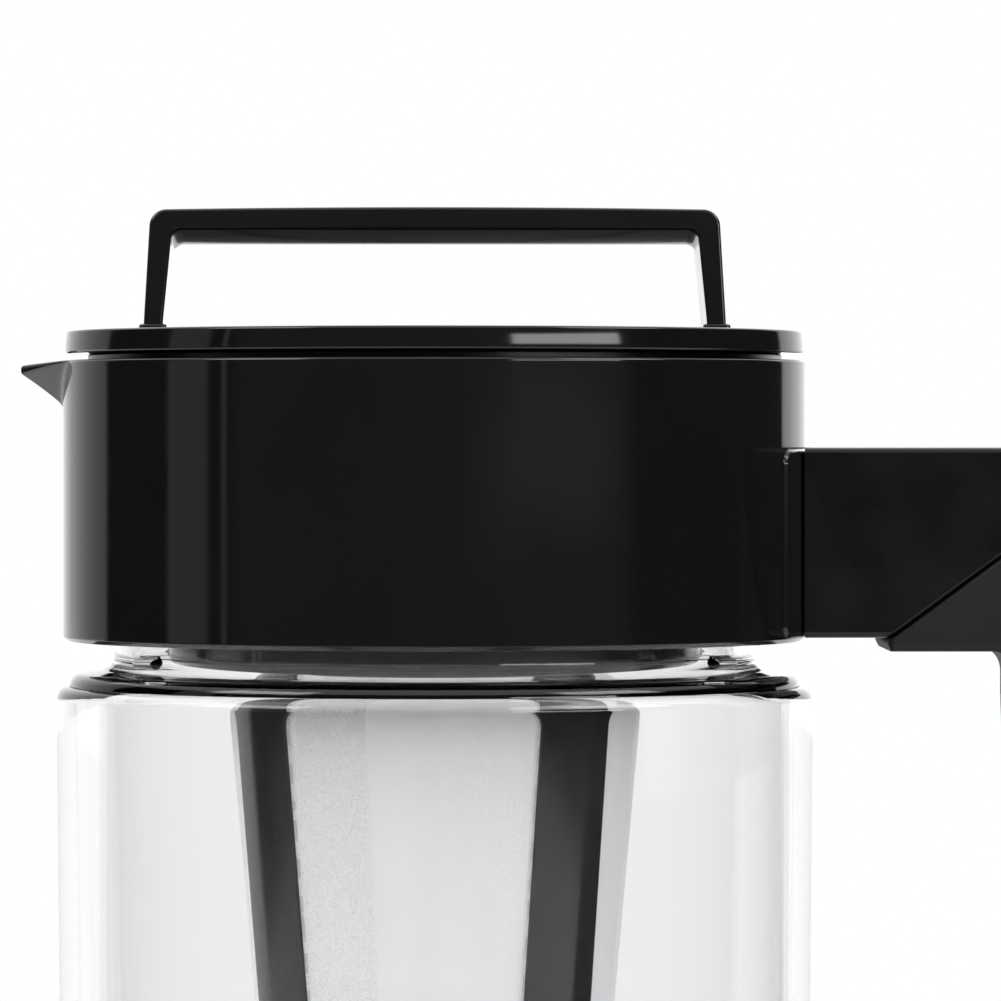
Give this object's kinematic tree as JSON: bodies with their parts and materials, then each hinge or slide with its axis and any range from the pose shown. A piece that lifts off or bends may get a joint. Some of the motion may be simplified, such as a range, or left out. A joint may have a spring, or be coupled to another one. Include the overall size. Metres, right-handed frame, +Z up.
{
  "type": "cold brew coffee maker",
  "caption": "Clear cylindrical pitcher with a black collar, V spout and side handle, a turning stopper lid with a bail, and a hanging mesh infuser.",
  "frame": {"origin": "centre of the pitcher's flat underside, on the pitcher's axis", "axes": "+Z up along the pitcher's axis, +X towards the handle, -X towards the spout, -Y towards the side seen in the picture"},
  "size_m": [0.155, 0.1054, 0.2117],
  "materials": {
    "clear_plastic": "clear, polished",
    "gloss_black": "high gloss",
    "satin_black": "satin",
    "grip_rubber": "soft matte",
    "silicone": "smooth",
    "infuser_mesh": "fine woven mesh",
    "screw_steel": "plain"
  },
  "bodies": {
    "pitcher": {"pitcher_body": "clear_plastic", "collar_shell": "gloss_black", "collar_liner": "satin_black", "neck_gasket": "silicone", "handle_frame": "satin_black", "grip_sleeve": "grip_rubber", "handle_screw_lower": "screw_steel", "handle_screw_upper": "screw_steel"},
    "lid_seal": {"cover_gasket": "silicone"},
    "lid": {"lid_cover": "gloss_black", "bail_handle": "satin_black", "plug_drum": "satin_black", "plug_gasket": "silicone"},
    "infuser_seal": {"infuser_gasket": "silicone"},
    "infuser": {"infuser_frame": "satin_black", "mesh_panel_1": "infuser_mesh", "mesh_panel_2": "infuser_mesh", "mesh_panel_3": "infuser_mesh", "mesh_panel_4": "infuser_mesh"}
  },
  "joints": [
    {"name": "lid_lift", "type": "slide", "parent": "pitcher", "child": "lid_seal", "axis": [0, 0, 1], "range_m": [0, 0.19]},
    {"name": "lid_turn", "type": "hinge", "parent": "lid_seal", "child": "lid", "pos_m": [0, 0, 0.19], "axis": [0, 0, 1], "continuous": true},
    {"name": "infuser_turn", "type": "hinge", "parent": "lid", "child": "infuser_seal", "pos_m": [0, 0, 0.15], "axis": [0, 0, -1], "range_deg": [0, 180]},
    {"name": "infuser_drop", "type": "slide", "parent": "infuser_seal", "child": "infuser", "axis": [0, 0, -1], "range_m": [0, 0.012]}
  ],
  "couplings": [
    {"joint": "infuser_turn", "follows": "infuser_drop", "rad_per_m": 261.8}
  ]
}
